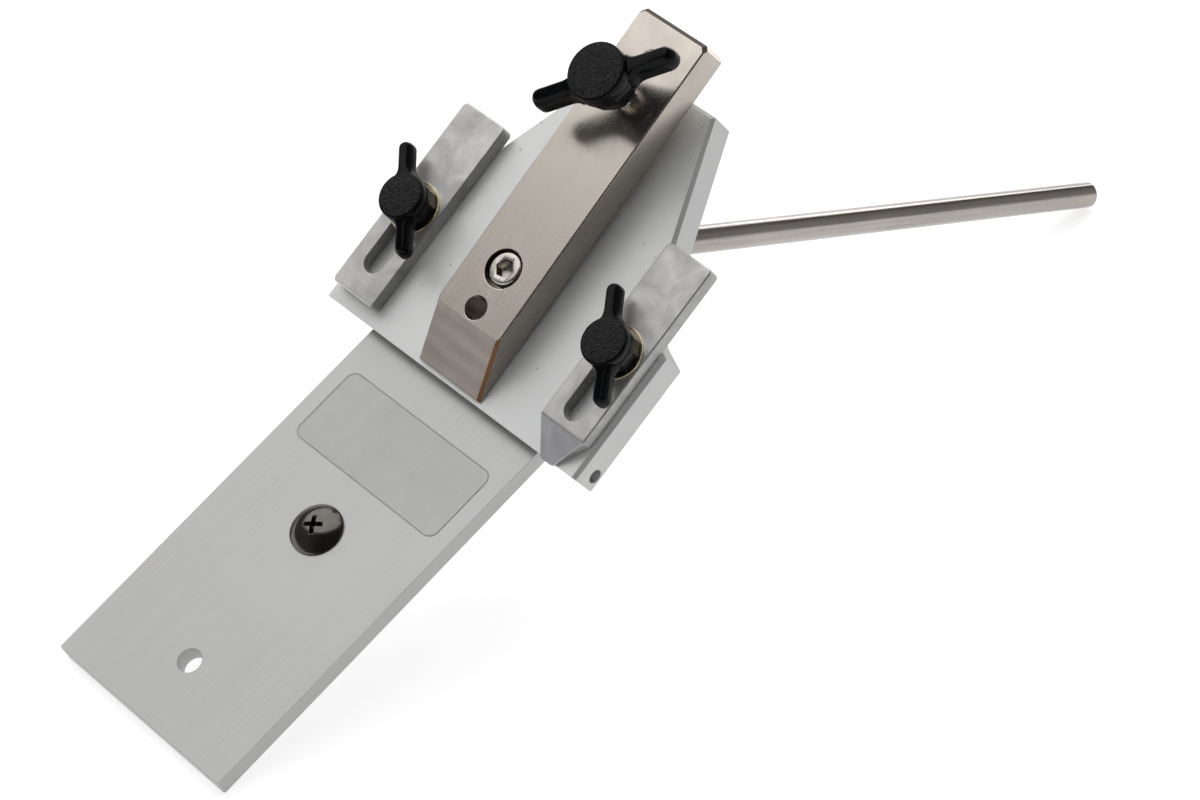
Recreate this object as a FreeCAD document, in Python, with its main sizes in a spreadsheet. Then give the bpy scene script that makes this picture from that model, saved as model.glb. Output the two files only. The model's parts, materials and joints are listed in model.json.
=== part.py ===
import FreeCAD, Part
import math
import os
import Sketcher

App = FreeCAD
doc = App.newDocument("HoningGuide")

# Driving dimensions in millimetres and degrees.
# The deck frame has X across the guide, Y from the deck's front edge towards its rear
# and Z out of the deck's top face. Every piece is drawn in it, and the whole guide is
# then tipped back until the tail's end and the rod's end stand on one level surface.
SIZES = {
    # deck plate
    "plate_width": 99.0,
    "plate_depth": 97.7,
    "plate_rear_width": 33.6,
    "plate_thickness": 9.9,
    "ear_length": 38.8,
    "flank_angle": 22.5,
    "flank_fillet": 10.0,
    "plate_bevel": 1.0,
    # tail plate, let into a sloping pocket under the deck
    "tail_width": 66.0,
    "tail_reach": 118.7,
    "tail_inset": 27.0,
    "tail_thickness": 5.3,
    "tail_pitch": 12.8,
    "tail_step": 4.0,
    "tail_corner": 0.8,
    "tail_bolt_inset": 12.0,
    "tail_bolt_offset": 20.0,
    "tail_hole": 7.0,
    "tail_hole_reach": 99.4,
    "truss_reach": 52.0,
    "truss_head": 15.0,
    "truss_rise": 3.0,
    "truss_rim": 0.5,
    "cross_length": 6.0,
    "cross_width": 1.3,
    "cross_depth": 2.4,
    "nut_key": 11.1,
    "nut_height": 5.6,
    # quarter inch screws and number ten screws
    "bolt_major": 6.35,
    "bolt_pitch": 1.27,
    "bolt_head": 9.52,
    "bolt_head_height": 6.35,
    "bolt_key": 4.76,
    "small_major": 4.83,
    "small_head": 7.92,
    "small_head_height": 4.83,
    "small_key": 3.97,
    "flat_head": 9.8,
    "flat_head_height": 2.6,
    "flat_key": 3.18,
    "flat_key_depth": 1.8,
    "key_depth_share": 0.55,
    "point_share": 0.1,
    "crown_share": 0.06,
    "tip_room": 1.0,
    # fits
    "thread_gap": 0.06,
    "slide_gap": 0.05,
    "rest_gap": 0.02,
    # side set screws that steady the tail
    "side_major": 3.9,
    "side_length": 12.0,
    "side_key": 1.98,
    "side_setback": 3.9,
    "side_drop": 7.2,
    # clamp bar, seen in its own frame: Y along the bar from the nose, Z across it
    "bar_width": 24.4,
    "bar_length": 109.6,
    "bar_thickness": 9.5,
    "bar_pitch": 2.8,
    "bar_setback": 1.3,
    "ramp_length": 15.6,
    "nose_thickness": 1.15,
    "nose_bevel": 0.9,
    "bar_edge": 0.35,
    "bar_end_bevel": 1.1,
    "pivot_reach": 32.1,
    "counterbore": 11.3,
    "counterbore_depth": 6.8,
    "pivot_hole": 7.1,
    "front_spare_reach": 19.7,
    "spare_hole": 6.9,
    "handle_reach": 87.2,
    "rear_spare_reach": 98.1,
    "pivot_length": 12.7,
    "stud_tip_gap": 0.16,
    # tee handle above the bar
    "handle_lift": 4.2,
    "handle_hub": 13.5,
    "handle_cap": 16.5,
    "handle_base": 14.6,
    "handle_span": 41.4,
    "handle_arm": 5.8,
    "handle_arm_height": 6.4,
    "handle_turn": 47.5,
    # heights of a knob's parts, as shares of its hub's height
    "wing_lift_share": 0.36,
    "base_share": 0.7,
    "shoulder_lift_share": 0.45,
    "shoulder_share": 0.25,
    "neck_share": 0.9,
    "socket_share": 0.6,
    "wing_bevel_share": 0.2,
    "cap_rim_share": 0.033,
    # fences
    "fence_offset": 39.8,
    "fence_width": 16.1,
    "fence_thickness": 4.3,
    "fence_corner": 1.5,
    "fence_edge": 0.3,
    "slot_width": 6.9,
    "slot_front": 11.2,
    "slot_rear": 38.4,
    "left_front": 4.2,
    "right_front": 8.9,
    "fence_rear": 63.9,
    "fence_nose_length": 9.6,
    "fence_nose_width": 4.6,
    "fence_nose_height": 0.5,
    # wing knobs that lock the fences
    "knob_setback": 32.7,
    "washer_width": 15.0,
    "washer_thickness": 0.8,
    "knob_hub": 8.1,
    "knob_cap": 13.3,
    "knob_base": 14.0,
    "knob_span": 33.4,
    "knob_arm": 4.3,
    "knob_arm_height": 4.4,
    "left_knob_turn": 130.6,
    "right_knob_turn": 124.0,
    "stud_bite": 8.0,
    # rod and the block that holds it
    "rod_diameter": 7.94,
    "rod_lean": 30.0,
    "rod_root": 47.5,
    "rod_reach": 236.3,
    "rod_socket": 17.0,
    "rod_seat": 7.5,
    "rod_bevel": 0.6,
    "block_width": 40.0,
    "block_front": 35.0,
    "block_rear": 69.0,
    "block_exit": 22.0,
    "block_foot": 11.0,
    "block_bolt_offset": 13.5,
    "block_bolt_setback": 40.4,
    "block_bolt_length": 25.4,
    "block_bolt_bite": 7.0,
    "block_counterbore": 8.6,
    "block_edge": 0.8,
    "rod_screw_reach": 13.0,
    "rod_screw_length": 12.0,
    # blank film on the tail
    "film_width": 56.0,
    "film_depth": 23.6,
    "film_reach": 23.8,
    "film_thickness": 0.1,
    "film_corner": 3.0,
}

# Edges closer to a plane than this lie in it.
TOUCH = 1e-4
X_AXIS = App.Vector(1, 0, 0)
Z_AXIS = App.Vector(0, 0, 1)
pieces = []


def size(name):
    return SIZES[name]


def write_sheet():
    sheet = doc.addObject("Spreadsheet::Sheet", "dim")
    for row, (name, value) in enumerate(SIZES.items(), start=1):
        sheet.set("A%d" % row, name)
        sheet.set("B%d" % row, str(value))
        sheet.setAlias("B%d" % row, name)
    doc.recompute()


def new_piece(label, place=None):
    """One separate physical piece, with its place in the deck frame."""
    body = doc.addObject("PartDesign::Body", label)
    body.Label = label
    pieces.append((label, body, place or App.Placement()))
    return body


def add(body, kind, name, sizes, at=("0", "0", "0"), axis=None, turn="0"):
    """A primitive feature of the body, its sizes, place and turn bound to the sheet."""
    item = body.newObject("PartDesign::" + kind, name)
    for prop, text in sizes.items():
        item.setExpression(prop, text)
    if axis:
        item.Placement = App.Placement(App.Vector(), App.Rotation(axis, 10))
        item.setExpression(".Placement.Rotation.Angle", turn)
    for letter, text in zip("xyz", at):
        item.setExpression(".Placement.Base." + letter, text)
    return item


def prism(body, kind, name, sides, radius, height, at=("0", "0", "0")):
    item = add(body, kind, name, {"Circumradius": radius, "Height": height}, at)
    item.Polygon = sides
    return item


def outline(body, name, role, corners):
    """A closed sketch on an origin plane, each corner held by two bound distances."""
    sketch = body.newObject("Sketcher::SketchObject", name)
    planes = [item for item in body.Origin.OriginFeatures if item.Role == role]
    sketch.AttachmentSupport = (planes[0], [""])
    sketch.MapMode = "FlatFace"
    count = len(corners)
    steps = [2 * math.pi * i / count for i in range(count)]
    start = [App.Vector(20 * math.cos(a), 20 * math.sin(a), 0) for a in steps]
    for i in range(count):
        sketch.addGeometry(Part.LineSegment(start[i], start[(i + 1) % count]))
    for i in range(count):
        sketch.addConstraint(Sketcher.Constraint("Coincident", i, 2, (i + 1) % count, 1))
    for i, (across, along) in enumerate(corners):
        for kind, value, text in (("DistanceX", start[i].x, across),
                                  ("DistanceY", start[i].y, along)):
            index = sketch.addConstraint(Sketcher.Constraint(kind, -1, 1, i, 1, value))
            sketch.setExpression("Constraints[%d]" % index, text)
    return sketch


def extrude(body, kind, name, sketch, length, side="One side", backwards=False):
    item = body.newObject("PartDesign::" + kind, name)
    item.Profile = sketch
    item.setExpression("Length", length)
    item.SideType = side
    item.Reversed = backwards
    return item


def soften(body, kind, name, amount, chosen):
    """A fillet or chamfer on the edges of the body so far that are chosen."""
    doc.recompute()
    base = body.Tip
    edges = ["Edge%d" % (i + 1) for i, edge in enumerate(base.Shape.Edges) if chosen(edge)]
    item = body.newObject("PartDesign::" + kind, name)
    item.Base = (base, edges)
    item.setExpression("Radius" if kind == "Fillet" else "Size", amount)
    doc.recompute()
    return item


def lies_at(edge, axis, value):
    return all(abs(getattr(v.Point, axis) - value) < TOUCH for v in edge.Vertexes)


def is_upright(edge):
    if len(edge.Vertexes) != 2:
        return False
    first, last = (v.Point for v in edge.Vertexes)
    return abs(first.x - last.x) < TOUCH and abs(first.y - last.y) < TOUCH


def drill(body, name, radius, depth, at, axis=None, turn="0"):
    return add(body, "SubtractiveCylinder", name, {"Radius": radius, "Height": depth}, at, axis, turn)


def half(name):
    return "dim.%s / 2" % name


def hex_radius(name):
    return "dim.%s / sqrt(3)" % name


# Where the sloping pieces sit in the deck frame.
tail_place = App.Placement(App.Vector(0, 0, -size("tail_step")),
                           App.Rotation(X_AXIS, -size("tail_pitch")))
bar_place = App.Placement(App.Vector(0, size("bar_setback"), 2 * size("rest_gap")),
                          App.Rotation(X_AXIS, size("bar_pitch")))
rod_place = App.Placement(App.Vector(0, size("rod_root"), -size("plate_thickness")),
                          App.Rotation(X_AXIS, 180 + size("rod_lean")))


def deck_plate():
    body = new_piece("deck_plate")
    flank = "(dim.plate_depth - dim.ear_length)"
    lean = "tan(dim.flank_angle * 1deg)"
    # The ear's rear edge and the flank lean by the same angle and meet in an inner corner.
    step = "(dim.plate_width - dim.plate_rear_width) / 2"
    rise = "((%s) - %s * %s) * %s / (1 - %s ^ 2)" % (step, flank, lean, lean, lean)
    inner_y = "dim.ear_length + (%s)" % rise
    inner_x = "dim.plate_rear_width / 2 + (dim.plate_depth - (%s)) * %s" % (inner_y, lean)
    right = [("dim.plate_width / 2", "0"), ("dim.plate_width / 2", "dim.ear_length"),
             (inner_x, inner_y), ("dim.plate_rear_width / 2", "dim.plate_depth")]
    left = [("-(%s)" % x, y) for x, y in reversed(right)]
    sketch = outline(body, "DeckOutline", "XY_Plane", right + left)
    extrude(body, "Pad", "Deck", sketch, "dim.plate_thickness", backwards=True)
    doc.recompute()

    def inner_corner(edge):
        place = edge.Vertexes[0].Point
        return is_upright(edge) and size("ear_length") + 1 < place.y < size("plate_depth") - 10

    def bevelled(edge):
        return lies_at(edge, "z", 0) and not lies_at(edge, "y", 0)

    soften(body, "Fillet", "Waist", "dim.flank_fillet", inner_corner)
    soften(body, "Chamfer", "TopBevel", "dim.plate_bevel", bevelled)
    add(body, "SubtractiveBox", "TailPocket",
        {"Length": "dim.tail_width + 2 * dim.slide_gap", "Width": "4 * dim.tail_inset",
         "Height": "4 * dim.plate_thickness"},
        ("-dim.tail_width / 2 - dim.slide_gap",
         "-2 * dim.tail_inset * cos(dim.tail_pitch * 1deg)"
         " - (4 * dim.plate_thickness - dim.rest_gap) * sin(dim.tail_pitch * 1deg)",
         "-dim.tail_step + 2 * dim.tail_inset * sin(dim.tail_pitch * 1deg)"
         " - (4 * dim.plate_thickness - dim.rest_gap) * cos(dim.tail_pitch * 1deg)"),
        X_AXIS, "-dim.tail_pitch")
    bolt = "dim.bolt_major / 2 + dim.thread_gap"
    drill(body, "PivotHole", bolt, "2 * dim.plate_thickness",
          ("0", pivot_setback(), "-1.5 * dim.plate_thickness"))
    for side in (-1, 1):
        name = "Left" if side < 0 else "Right"
        drill(body, name + "StudHole", bolt, "2 * dim.plate_thickness",
              ("%d * dim.fence_offset" % side, "dim.knob_setback", "-1.5 * dim.plate_thickness"))
        drill(body, name + "BlockHole", "dim.small_major / 2 + dim.thread_gap",
              "dim.block_bolt_bite + dim.tip_room",
              ("%d * dim.block_bolt_offset" % side, "dim.block_bolt_setback",
               "-dim.plate_thickness"))
        drill(body, name + "TailHole", "dim.small_major / 2 + dim.thread_gap",
              "dim.tail_step + 1.3 * dim.tip_room",
              ("%d * dim.tail_bolt_offset" % side,
               "dim.tail_bolt_inset * cos(dim.tail_pitch * 1deg)",
               "-dim.tail_step - dim.tail_bolt_inset * sin(dim.tail_pitch * 1deg)"),
              X_AXIS, "-dim.tail_pitch")
        across = App.Vector(0, side, 0)
        drill(body, name + "SideHole", "dim.side_major / 2 + dim.thread_gap",
              "dim.plate_width", ("%d * dim.tail_width / 2" % side, "dim.side_setback",
                                  "-dim.side_drop"), across, "90")
    return body


def pivot_setback():
    """The pivot screw's place behind the deck's front edge, over the counterbore's floor."""
    return ("dim.bar_setback + dim.pivot_reach * cos(dim.bar_pitch * 1deg)"
            " - (dim.bar_thickness - dim.counterbore_depth) * sin(dim.bar_pitch * 1deg)")


def tail_plate():
    body = new_piece("tail_plate", tail_place)
    add(body, "AdditiveBox", "Tail",
        {"Length": "dim.tail_width", "Width": "dim.tail_reach + dim.tail_inset",
         "Height": "dim.tail_thickness"},
        ("-dim.tail_width / 2", "-dim.tail_reach", "-dim.tail_thickness"))

    def end_corner(edge):
        return is_upright(edge) and edge.Vertexes[0].Point.y < 0

    soften(body, "Fillet", "EndCorners", "dim.tail_corner", end_corner)
    below = "-1.5 * dim.tail_thickness"
    drill(body, "EndHole", half("tail_hole"), "2 * dim.tail_thickness",
          ("0", "-dim.tail_hole_reach", below))
    drill(body, "TrussHole", "dim.bolt_major / 2 + dim.thread_gap", "2 * dim.tail_thickness",
          ("0", "-dim.truss_reach", below))
    for side in (-1, 1):
        name = "Left" if side < 0 else "Right"
        place = ("%d * dim.tail_bolt_offset" % side, "dim.tail_bolt_inset")
        drill(body, name + "BoltHole", "dim.small_major / 2 + dim.thread_gap",
              "2 * dim.tail_thickness", place + (below,))
        add(body, "SubtractiveCone", name + "Countersink",
            {"Radius1": "dim.flat_head / 2 + dim.thread_gap",
             "Radius2": "dim.small_major / 2 + dim.thread_gap", "Height": "dim.flat_head_height"},
            place + ("-dim.tail_thickness",))
    return body


def flat_screw(side):
    """A flat head screw that holds the tail from below, point up."""
    name = "left" if side < 0 else "right"
    body = doc.addObject("PartDesign::Body", name + "_tail_screw")
    add(body, "AdditiveCylinder", "Shank",
        {"Radius": half("small_major"), "Height": "dim.tail_thickness + dim.tail_step + dim.tip_room"})
    add(body, "AdditiveCone", "Head",
        {"Radius1": half("flat_head"), "Radius2": half("small_major"),
         "Height": "dim.flat_head_height"})
    prism(body, "SubtractivePrism", "Socket", 6, hex_radius("flat_key"), "dim.flat_key_depth")
    body.Placement = App.Placement(
        App.Vector(side * size("tail_bolt_offset"), size("tail_bolt_inset"), -size("tail_thickness")),
        App.Rotation())
    return body


def cap_screw(label, major, head, height, key, length, place):
    """A socket head screw along Z, with its seat at Z = 0 and its head above."""
    body = doc.addObject("PartDesign::Body", label)
    add(body, "AdditiveCylinder", "Shank", {"Radius": half(major), "Height": length},
        ("0", "0", "-(%s)" % length))
    soften(body, "Chamfer", "Point", "dim.%s * dim.point_share" % major,
           lambda edge: len(edge.Vertexes) == 1 and edge.Vertexes[0].Point.z < -TOUCH)
    add(body, "AdditiveCylinder", "Head", {"Radius": half(head), "Height": "dim." + height})
    top = size(height)
    soften(body, "Chamfer", "Crown", "dim.%s * dim.crown_share" % head,
           lambda edge: lies_at(edge, "z", top))
    prism(body, "SubtractivePrism", "Socket", 6, hex_radius(key),
          "dim.%s * dim.key_depth_share" % height,
          ("0", "0", "dim.%s * (1 - dim.key_depth_share)" % height))
    body.Placement = place
    return body


def set_screw(label, major, key, length, place):
    """A headless screw along Z, with its socket at the top end."""
    body = doc.addObject("PartDesign::Body", label)
    add(body, "AdditiveCylinder", "Shank", {"Radius": half(major), "Height": "dim." + length})
    soften(body, "Chamfer", "Ends", "dim.%s * dim.point_share" % major,
           lambda edge: len(edge.Vertexes) == 1)
    prism(body, "SubtractivePrism", "Socket", 6, hex_radius(key), "dim.%s / 2" % major,
          ("0", "0", "dim.%s - dim.%s / 2" % (length, major)))
    body.Placement = place
    return body


def group(label, members, place=None):
    """Identical fasteners in one node, each still its own solid."""
    item = doc.addObject("Part::Compound", label)
    item.Label = label
    item.Links = members
    pieces.append((label, item, place or App.Placement()))
    return item


def single(label, body):
    body.Label = label
    pieces.append((label, body, body.Placement))
    return body


def tail_side_screws():
    members = []
    for side in (-1, 1):
        place = App.Placement(
            App.Vector(side * (size("tail_width") / 2 + size("rest_gap")), size("side_setback"),
                       -size("side_drop")),
            App.Rotation(App.Vector(0, side, 0), 90))
        name = "left_side_screw" if side < 0 else "right_side_screw"
        members.append(set_screw(name, "side_major", "side_key", "side_length", place))
    return group("tail_side_screws", members)


def truss_screw():
    """A shallow domed screw with a cross recess, standing in the tail."""
    place = tail_place * App.Placement(App.Vector(0, -size("truss_reach"), 0), App.Rotation())
    body = new_piece("truss_screw", place)
    length = "dim.tail_thickness + dim.nut_height + dim.bolt_pitch"
    add(body, "AdditiveCylinder", "Shank", {"Radius": half("bolt_major"), "Height": length},
        ("0", "0", "-(%s)" % length))
    add(body, "AdditiveCylinder", "Rim", {"Radius": half("truss_head"), "Height": "dim.truss_rim"})
    # The dome is a sphere's cap: its radius follows from the head's width and rise.
    ball = "((dim.truss_head / 2) ^ 2 + dim.truss_rise ^ 2) / (2 * dim.truss_rise)"
    dome = add(body, "AdditiveSphere", "Dome", {"Radius": ball},
               ("0", "0", "dim.truss_rim + dim.truss_rise - (%s)" % ball))
    dome.setExpression("Angle1", "asin(1 - dim.truss_rise / (%s))" % ball)
    top = "dim.truss_rim + dim.truss_rise"
    for turn in ("35", "125"):
        across, along = "cos(%s deg) / 2" % turn, "sin(%s deg) / 2" % turn
        add(body, "SubtractiveBox", "Recess" + turn,
            {"Length": "dim.cross_length", "Width": "dim.cross_width", "Height": "dim.truss_rise"},
            ("-dim.cross_length * %s + dim.cross_width * %s" % (across, along),
             "-dim.cross_length * %s - dim.cross_width * %s" % (along, across),
             "%s - dim.cross_depth" % top), Z_AXIS, turn)
    return body


def truss_nut():
    place = tail_place * App.Placement(
        App.Vector(0, -size("truss_reach"), -size("tail_thickness") - size("rest_gap")),
        App.Rotation(X_AXIS, 180))
    body = new_piece("truss_nut", place)
    prism(body, "AdditivePrism", "Nut", 6, hex_radius("nut_key"), "dim.nut_height")
    drill(body, "Thread", "dim.bolt_major / 2 + dim.thread_gap", "2 * dim.nut_height",
          ("0", "0", "-dim.nut_height / 2"))
    return body


def label_film():
    place = tail_place * App.Placement(App.Vector(0, -size("film_reach"), size("rest_gap")),
                                       App.Rotation())
    body = new_piece("label_film", place)
    add(body, "AdditiveBox", "Film", {"Length": "dim.film_width", "Width": "dim.film_depth",
                                      "Height": "dim.film_thickness"},
        ("-dim.film_width / 2", "-dim.film_depth / 2", "0"))
    soften(body, "Fillet", "Corners", "dim.film_corner", is_upright)
    return body


def clamp_bar():
    body = new_piece("clamp_bar", bar_place)
    side = [("0", "0"), ("dim.bar_length", "0"), ("dim.bar_length", "dim.bar_thickness"),
            ("dim.ramp_length", "dim.bar_thickness"), ("0", "dim.nose_thickness")]
    sketch = outline(body, "BarProfile", "YZ_Plane", side)
    extrude(body, "Pad", "Bar", sketch, "dim.bar_width", side="Symmetric")
    top = size("bar_thickness")
    reach = size("bar_length")

    def ramp_side(edge):
        heights = sorted(v.Point.z for v in edge.Vertexes)
        return (len(heights) == 2 and abs(heights[0] - size("nose_thickness")) < TOUCH
                and abs(heights[1] - top) < TOUCH)

    soften(body, "Chamfer", "RampBevel", "dim.nose_bevel", ramp_side)
    soften(body, "Chamfer", "EndCorners", "dim.bar_end_bevel",
           lambda edge: is_upright(edge) and lies_at(edge, "y", reach))
    soften(body, "Chamfer", "EndBevel", "dim.bar_end_bevel",
           lambda edge: lies_at(edge, "z", top) and edge.CenterOfMass.y > reach - 2)

    def long_top(edge):
        ends = sorted(v.Point.y for v in edge.Vertexes)
        return lies_at(edge, "z", top) and len(ends) == 2 and ends[1] - ends[0] > reach / 2

    soften(body, "Chamfer", "LongEdges", "dim.bar_edge", long_top)
    through = "2 * dim.bar_thickness"
    below = "-dim.bar_thickness / 2"
    drill(body, "PivotHole", half("pivot_hole"), through, ("0", "dim.pivot_reach", below))
    drill(body, "Counterbore", half("counterbore"), through,
          ("0", "dim.pivot_reach", "dim.bar_thickness - dim.counterbore_depth"))
    drill(body, "FrontSpare", half("spare_hole"), through, ("0", "dim.front_spare_reach", below))
    drill(body, "RearSpare", half("spare_hole"), through, ("0", "dim.rear_spare_reach", below))
    drill(body, "HandleHole", "dim.bolt_major / 2 + dim.thread_gap", through,
          ("0", "dim.handle_reach", below))
    return body


def pivot_screw():
    """The bar rocks on the rim of this screw's head, so the head sits just clear of its seat."""
    seat = bar_place.multVec(App.Vector(0, size("pivot_reach"),
                                        size("bar_thickness") - size("counterbore_depth")))
    rock = size("bolt_head") / 2 * math.tan(math.radians(size("bar_pitch")))
    seat.z += rock + 2 * size("rest_gap")
    place = App.Placement(seat, App.Rotation(Z_AXIS, 15))
    return single("pivot_screw", cap_screw("pivot_screw", "bolt_major", "bolt_head",
                                           "bolt_head_height", "bolt_key", "dim.pivot_length", place))


def stadium(body, name, span, width, height, lift):
    """A bar with round ends along X, bevelled all round its top and bottom."""
    add(body, "AdditiveBox", name, {"Length": "dim.%s - dim.%s" % (span, width),
                                    "Width": "dim." + width, "Height": "dim." + height},
        ("-(dim.%s - dim.%s) / 2" % (span, width), "-dim.%s / 2" % width, lift))
    for side in (-1, 1):
        end = "%d * (dim.%s - dim.%s) / 2" % (side, span, width)
        add(body, "AdditiveCylinder", name + ("Left" if side < 0 else "Right"),
            {"Radius": half(width), "Height": "dim." + height}, (end, "0", lift))
    doc.recompute()
    box = body.Shape.BoundBox
    soften(body, "Chamfer", name + "Bevel", "dim.%s * dim.wing_bevel_share" % width,
           lambda edge: lies_at(edge, "z", box.ZMin) or lies_at(edge, "z", box.ZMax))


def wing_knob(label, place, prefix):
    """A moulded hub with two wings: a round cap over a ten-sided base."""
    body = new_piece(label, place)
    span, arm, arm_height = (prefix + end for end in ("_span", "_arm", "_arm_height"))
    hub, cap, base = (prefix + end for end in ("_hub", "_cap", "_base"))
    stadium(body, "Wings", span, arm, arm_height, "dim.%s * dim.wing_lift_share" % hub)
    prism(body, "AdditivePrism", "Base", 10, half(base), "dim.%s * dim.base_share" % hub)
    add(body, "AdditiveCone", "Shoulder",
        {"Radius1": "dim.%s / 2 * dim.neck_share" % cap, "Radius2": half(cap),
         "Height": "dim.%s * dim.shoulder_share" % hub},
        ("0", "0", "dim.%s * dim.shoulder_lift_share" % hub))
    add(body, "AdditiveCylinder", "Cap",
        {"Radius": half(cap), "Height": "dim.%s * (1 - dim.base_share)" % hub},
        ("0", "0", "dim.%s * dim.base_share" % hub))
    top = size(hub)
    soften(body, "Fillet", "CapRim", "dim.%s * dim.cap_rim_share" % cap,
           lambda edge: lies_at(edge, "z", top))
    drill(body, "StudSocket", "dim.bolt_major / 2 + dim.slide_gap",
          "dim.%s * dim.socket_share + 2 * dim.rest_gap" % hub, ("0", "0", "0"))
    return body


def stud(label, place, hub, bite):
    """A threaded stud moulded into its knob: Z = 0 is the knob's underside."""
    body = new_piece(label, place)
    add(body, "AdditiveCylinder", "Shank",
        {"Radius": half("bolt_major"), "Height": "dim.%s * dim.socket_share + (%s)" % (hub, bite)},
        ("0", "0", "-(%s)" % bite))
    soften(body, "Chamfer", "Point", "dim.bolt_major / 8",
           lambda edge: len(edge.Vertexes) == 1 and edge.Vertexes[0].Point.z < -TOUCH)
    return body


def tee_place():
    lift = size("bar_thickness") + size("handle_lift")
    return bar_place * App.Placement(App.Vector(0, size("handle_reach"), lift),
                                     App.Rotation(Z_AXIS, size("handle_turn")))


def knob_place(side):
    turn = size("left_knob_turn") if side < 0 else size("right_knob_turn")
    lift = size("fence_thickness") + size("washer_thickness") + 3 * size("rest_gap")
    return App.Placement(App.Vector(side * size("fence_offset"), size("knob_setback"), lift),
                         App.Rotation(Z_AXIS, turn))


def fence(label, side, front):
    """A flat bar with a slot that ends under its knob."""
    place = App.Placement(App.Vector(side * size("fence_offset"), 0, size("rest_gap")), App.Rotation())
    body = new_piece(label, place)
    add(body, "AdditiveBox", "Bar", {"Length": "dim.fence_width", "Width": "dim.fence_rear - dim." + front,
                                     "Height": "dim.fence_thickness"},
        ("-dim.fence_width / 2", "dim." + front, "0"))
    top = size("fence_thickness")

    def rounded(edge):
        return is_upright(edge) and (side < 0 or lies_at(edge, "y", size("fence_rear")))

    soften(body, "Fillet", "Corners", "dim.fence_corner", rounded)
    if side > 0:
        pointed_nose(body, front)
    soften(body, "Chamfer", "TopEdges", "dim.fence_edge", lambda edge: lies_at(edge, "z", top))
    width = "dim.slot_width"
    add(body, "SubtractiveBox", "Slot",
        {"Length": width, "Width": "dim.slot_rear - dim.slot_front - dim.slot_width",
         "Height": "2 * dim.fence_thickness"},
        ("-dim.slot_width / 2", "dim.slot_front + dim.slot_width / 2", "-dim.fence_thickness / 2"))
    for name, end in (("Front", "dim.slot_front + dim.slot_width / 2"),
                      ("Rear", "dim.slot_rear - dim.slot_width / 2")):
        drill(body, "Slot" + name, half("slot_width"), "2 * dim.fence_thickness",
              ("0", end, "-dim.fence_thickness / 2"))
    return body


def pointed_nose(body, front):
    """The right fence's front end slopes down and narrows to a small tip."""
    add(body, "AdditiveWedge", "Nose",
        {"Xmin": "-dim.fence_nose_width / 2", "Xmax": "dim.fence_nose_width / 2",
         "X2min": "-dim.fence_width / 2", "X2max": "dim.fence_width / 2",
         "Ymin": "dim.%s - dim.fence_nose_length" % front, "Ymax": "dim." + front,
         "Zmin": "0", "Zmax": "dim.fence_nose_height", "Z2min": "0", "Z2max": "dim.fence_thickness"})
    tip = size(front) - size("fence_nose_length")
    soften(body, "Fillet", "NoseTip", "dim.fence_nose_width / 3",
           lambda edge: is_upright(edge) and lies_at(edge, "y", tip))


def washer(label, side):
    lift = size("fence_thickness") + 2 * size("rest_gap")
    place = App.Placement(App.Vector(side * size("fence_offset"), size("knob_setback"), lift),
                          App.Rotation())
    body = new_piece(label, place)
    add(body, "AdditiveCylinder", "Disc", {"Radius": half("washer_width"), "Height": "dim.washer_thickness"})
    top = size("washer_thickness")
    soften(body, "Fillet", "Rim", "dim.washer_thickness / 4", lambda edge: lies_at(edge, "z", top))
    drill(body, "Bore", "dim.bolt_major / 2 + dim.thread_gap", "3 * dim.washer_thickness",
          ("0", "0", "-dim.washer_thickness"))
    return body


def rod_block():
    """The block that holds the rod under the deck, its rear foot cut square to the rod."""
    body = new_piece("rod_block")
    lean = "dim.rod_lean * 1deg"
    exit_y = "(dim.rod_root + dim.block_exit * sin(%s))" % lean
    exit_z = "(-dim.plate_thickness - dim.block_exit * cos(%s))" % lean
    foot_y = "dim.block_front + dim.block_foot"
    foot_z = "%s - (%s - (%s)) * tan(%s)" % (exit_z, exit_y, foot_y, lean)
    rear_z = "%s + (dim.block_rear - %s) * tan(%s)" % (exit_z, exit_y, lean)
    top = "-dim.plate_thickness - dim.rest_gap"
    sketch = outline(body, "BlockProfile", "YZ_Plane",
                     [("dim.block_front", top), ("dim.block_front", foot_z), (foot_y, foot_z),
                      ("dim.block_rear", rear_z), ("dim.block_rear", top)])
    extrude(body, "Pad", "Block", sketch, "dim.block_width", side="Symmetric")
    doc.recompute()
    low = body.Shape.BoundBox.ZMin
    soften(body, "Chamfer", "FootEdges", "dim.block_edge",
           lambda edge: lies_at(edge, "z", low) or edge.CenterOfMass.z < low + 1)
    start = "(dim.block_exit - dim.rod_socket)"
    drill(body, "RodBore", "dim.rod_seat / 2 + dim.slide_gap", "dim.rod_reach",
          ("0", "dim.rod_root + %s * sin(%s)" % (start, lean),
           "-dim.plate_thickness - %s * cos(%s)" % (start, lean)), X_AXIS, "180 + dim.rod_lean")
    drill(body, "RodScrewHole", "dim.bolt_major / 2 + dim.thread_gap", "dim.block_width",
          ("0", "dim.rod_root + dim.rod_screw_reach * sin(%s)" % lean,
           "-dim.plate_thickness - dim.rod_screw_reach * cos(%s)" % lean),
          App.Vector(0, 1, 0), "90")
    for side in (-1, 1):
        name = "Left" if side < 0 else "Right"
        place = ("%d * dim.block_bolt_offset" % side, "dim.block_bolt_setback")
        drill(body, name + "BoltHole", "dim.small_major / 2 + dim.thread_gap", "dim.rod_reach",
              place + ("-dim.rod_reach / 2",))
        drill(body, name + "Counterbore", half("block_counterbore"), "dim.rod_reach",
              place + ("-dim.plate_thickness - dim.block_bolt_length + dim.block_bolt_bite"
                       " - dim.rod_reach",))
    return body


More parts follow.
